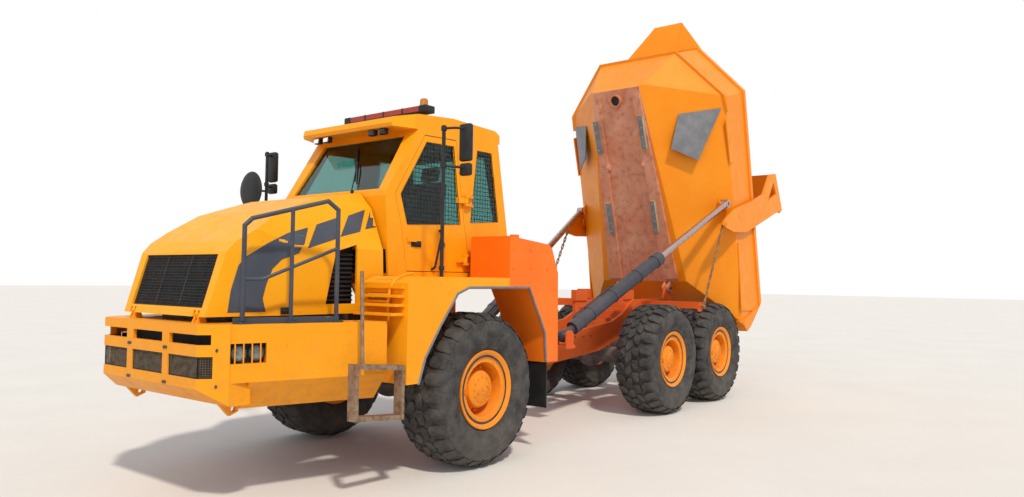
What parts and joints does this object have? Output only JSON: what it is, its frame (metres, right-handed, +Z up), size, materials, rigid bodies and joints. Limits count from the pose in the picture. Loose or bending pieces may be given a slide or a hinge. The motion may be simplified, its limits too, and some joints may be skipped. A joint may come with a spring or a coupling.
{
  "type": "articulated dump truck",
  "caption": "Articulated dump truck with raised bed, hinged tailgate, centre pivot steering, bogie rear axles, cab with door, tilting bonnet.",
  "frame": {"origin": "middle of the outline on the ground, with the bed raised and the gate open", "axes": "+X forward along the truck, +Y to the driver's left, +Z up"},
  "size_m": [11.0898, 3.2, 6.5566],
  "materials": {
    "orange_enamel": "gloss enamel, dusty",
    "red_orange_enamel": "gloss enamel, dusty",
    "dark_enamel": "satin enamel, worn",
    "plated_rod": "ground and plated",
    "tyre_rubber": "dusty tread rubber",
    "black_rubber": "matt rubber sheet",
    "black_plastic": "grained",
    "seat_cloth": "woven",
    "tinted_glass": "tinted",
    "lamp_lens": "clear",
    "red_lens": "faded",
    "worn_steel": "worn and rusty"
  },
  "bodies": {
    "front_unit": {"front_frame": "red_orange_enamel", "engine_block": "dark_enamel", "radiator": "dark_enamel", "front_bumper": "orange_enamel", "front_apron": "orange_enamel", "front_fenders": "orange_enamel", "side_tanks": "red_orange_enamel", "cab_shell": "orange_enamel", "cab_roof": "orange_enamel", "cab_glass": "tinted_glass", "dashboard": "black_plastic", "steering_wheel": "black_plastic", "driver_seat": "seat_cloth", "light_bar": "red_lens", "mirrors": "black_plastic", "walkway_rail": "dark_enamel", "ladder": "worn_steel", "headlights": "lamp_lens", "work_lamps": "lamp_lens", "front_axle": "dark_enamel", "front_mudflaps": "black_rubber"},
    "door": {"cab_door": "orange_enamel", "door_glass": "tinted_glass"},
    "bonnet_cover": {"bonnet": "orange_enamel", "bonnet_grille": "black_plastic"},
    "hitch_unit": {"hitch": "red_orange_enamel"},
    "rear_unit": {"rear_frame": "red_orange_enamel", "frame_brackets": "red_orange_enamel", "bogie_beams": "red_orange_enamel", "rear_axles": "dark_enamel"},
    "dump_bed": {"bed": "orange_enamel", "bed_fittings": "orange_enamel", "spill_guard": "orange_enamel", "bed_pads": "black_rubber", "bed_mudflaps": "black_rubber"},
    "gate": {"tailgate": "orange_enamel"},
    "chains": {"tailgate_chains": "worn_steel"},
    "wheel_front_left": {"rim_front_left": "orange_enamel", "tyre_front_left": "tyre_rubber"},
    "wheel_front_right": {"rim_front_right": "orange_enamel", "tyre_front_right": "tyre_rubber"},
    "wheel_mid_left": {"rim_mid_left": "orange_enamel", "tyre_mid_left": "tyre_rubber"},
    "wheel_mid_right": {"rim_mid_right": "orange_enamel", "tyre_mid_right": "tyre_rubber"},
    "wheel_rear_left": {"rim_rear_left": "orange_enamel", "tyre_rear_left": "tyre_rubber"},
    "wheel_rear_right": {"rim_rear_right": "orange_enamel", "tyre_rear_right": "tyre_rubber"},
    "hoist_cylinder_left": {"hoist_barrel_left": "dark_enamel"},
    "hoist_piston_left": {"hoist_rod_left": "plated_rod"},
    "steering_cylinder_left": {"steering_barrel_left": "dark_enamel"},
    "steering_piston_left": {"steering_rod_left": "plated_rod"},
    "hoist_cylinder_right": {"hoist_barrel_right": "dark_enamel"},
    "hoist_piston_right": {"hoist_rod_right": "plated_rod"},
    "steering_cylinder_right": {"steering_barrel_right": "dark_enamel"},
    "steering_piston_right": {"steering_rod_right": "plated_rod"}
  },
  "joints": [
    {"name": "articulation", "type": "hinge", "parent": "front_unit", "child": "hitch_unit", "pos_m": [1.33486, 0, 0.98], "axis": [0, 0, 1], "range_deg": [-45, 45]},
    {"name": "frame_oscillation", "type": "hinge", "parent": "hitch_unit", "child": "rear_unit", "pos_m": [0.78487, 0, 0.98], "axis": [1, 0, 0], "range_deg": [-15, 15]},
    {"name": "wheel_front_left_spin", "type": "hinge", "parent": "front_unit", "child": "wheel_front_left", "pos_m": [2.78486, 1.14, 0.778], "axis": [0, 1, 0], "continuous": true},
    {"name": "wheel_front_right_spin", "type": "hinge", "parent": "front_unit", "child": "wheel_front_right", "pos_m": [2.78486, -1.14, 0.778], "axis": [0, 1, 0], "continuous": true},
    {"name": "wheel_mid_left_spin", "type": "hinge", "parent": "rear_unit", "child": "wheel_mid_left", "pos_m": [-1.39013, 1.14, 0.778], "axis": [0, 1, 0], "continuous": true},
    {"name": "wheel_mid_right_spin", "type": "hinge", "parent": "rear_unit", "child": "wheel_mid_right", "pos_m": [-1.39013, -1.14, 0.778], "axis": [0, 1, 0], "continuous": true},
    {"name": "wheel_rear_left_spin", "type": "hinge", "parent": "rear_unit", "child": "wheel_rear_left", "pos_m": [-3.07014, 1.14, 0.778], "axis": [0, 1, 0], "continuous": true},
    {"name": "wheel_rear_right_spin", "type": "hinge", "parent": "rear_unit", "child": "wheel_rear_right", "pos_m": [-3.07014, -1.14, 0.778], "axis": [0, 1, 0], "continuous": true},
    {"name": "door_swing", "type": "hinge", "parent": "front_unit", "child": "door", "pos_m": [2.49486, 0.838, 2.4], "axis": [0, 0, 1], "range_deg": [0, 75]},
    {"name": "bonnet_lift", "type": "hinge", "parent": "front_unit", "child": "bonnet_cover", "pos_m": [5.38486, 0, 1.55], "axis": [0, 1, 0], "range_deg": [0, 70]},
    {"name": "bed_tip", "type": "hinge", "parent": "rear_unit", "child": "dump_bed", "pos_m": [-3.03913, 0, 1.775], "axis": [0, -1, 0], "range_deg": [-72, 0]},
    {"name": "gate_swing", "type": "hinge", "parent": "dump_bed", "child": "gate", "pos_m": [-3.49096, 0, 2.97327], "axis": [0, -1, 0], "range_deg": [0, 81]},
    {"name": "chain_swing", "type": "hinge", "parent": "rear_unit", "child": "chains", "pos_m": [-2.23014, 0, 1.52], "axis": [0, -1, 0], "range_deg": [-66.92, 0]},
    {"name": "hoist_barrel_left_swing", "type": "hinge", "parent": "rear_unit", "child": "hoist_cylinder_left", "pos_m": [0.47486, 0.75, 1.165], "axis": [-0.4556, 0.1005, -0.8845], "range_deg": [0, 5.43]},
    {"name": "hoist_rod_left_slide", "type": "slide", "parent": "hoist_cylinder_left", "child": "hoist_piston_left", "axis": [-0.8715, 0.152, 0.4662], "range_m": [-1.6148, 0]},
    {"name": "hoist_barrel_right_swing", "type": "hinge", "parent": "rear_unit", "child": "hoist_cylinder_right", "pos_m": [0.47486, -0.75, 1.165], "axis": [0.4556, 0.1005, 0.8845], "range_deg": [0, 5.43]},
    {"name": "hoist_rod_right_slide", "type": "slide", "parent": "hoist_cylinder_right", "child": "hoist_piston_right", "axis": [-0.8715, -0.152, 0.4662], "range_m": [-1.6148, 0]},
    {"name": "steering_barrel_left_swing", "type": "hinge", "parent": "front_unit", "child": "steering_cylinder_left", "pos_m": [2.33487, 0.6, 0.98], "axis": [0, 0, 1], "range_deg": [-3.15, 3.15]},
    {"name": "steering_rod_left_slide", "type": "slide", "parent": "steering_cylinder_left", "child": "steering_piston_left", "axis": [-0.979, -0.204, 0], "range_m": [-0.2783, 0.2783]},
    {"name": "steering_barrel_right_swing", "type": "hinge", "parent": "front_unit", "child": "steering_cylinder_right", "pos_m": [2.33487, -0.6, 0.98], "axis": [0, 0, 1], "range_deg": [-3.15, 3.15]},
    {"name": "steering_rod_right_slide", "type": "slide", "parent": "steering_cylinder_right", "child": "steering_piston_right", "axis": [-0.979, 0.204, 0], "range_m": [-0.2783, 0.2783]}
  ],
  "couplings": [
    {"joint": "gate_swing", "follows": "bed_tip", "ratio": -1.125},
    {"joint": "chain_swing", "follows": "bed_tip", "ratio": 0.92924},
    {"joint": "hoist_barrel_left_swing", "follows": "bed_tip", "ratio": -0.075268},
    {"joint": "hoist_rod_left_slide", "follows": "bed_tip", "m_per_rad": 1.2846},
    {"joint": "hoist_barrel_right_swing", "follows": "bed_tip", "ratio": -0.075268},
    {"joint": "hoist_rod_right_slide", "follows": "bed_tip", "m_per_rad": 1.2846},
    {"joint": "steering_barrel_left_swing", "follows": "articulation", "ratio": 0.069894},
    {"joint": "steering_rod_left_slide", "follows": "articulation", "m_per_rad": 0.35371},
    {"joint": "steering_barrel_right_swing", "follows": "articulation", "ratio": 0.069894},
    {"joint": "steering_rod_right_slide", "follows": "articulation", "m_per_rad": -0.35371}
  ]
}
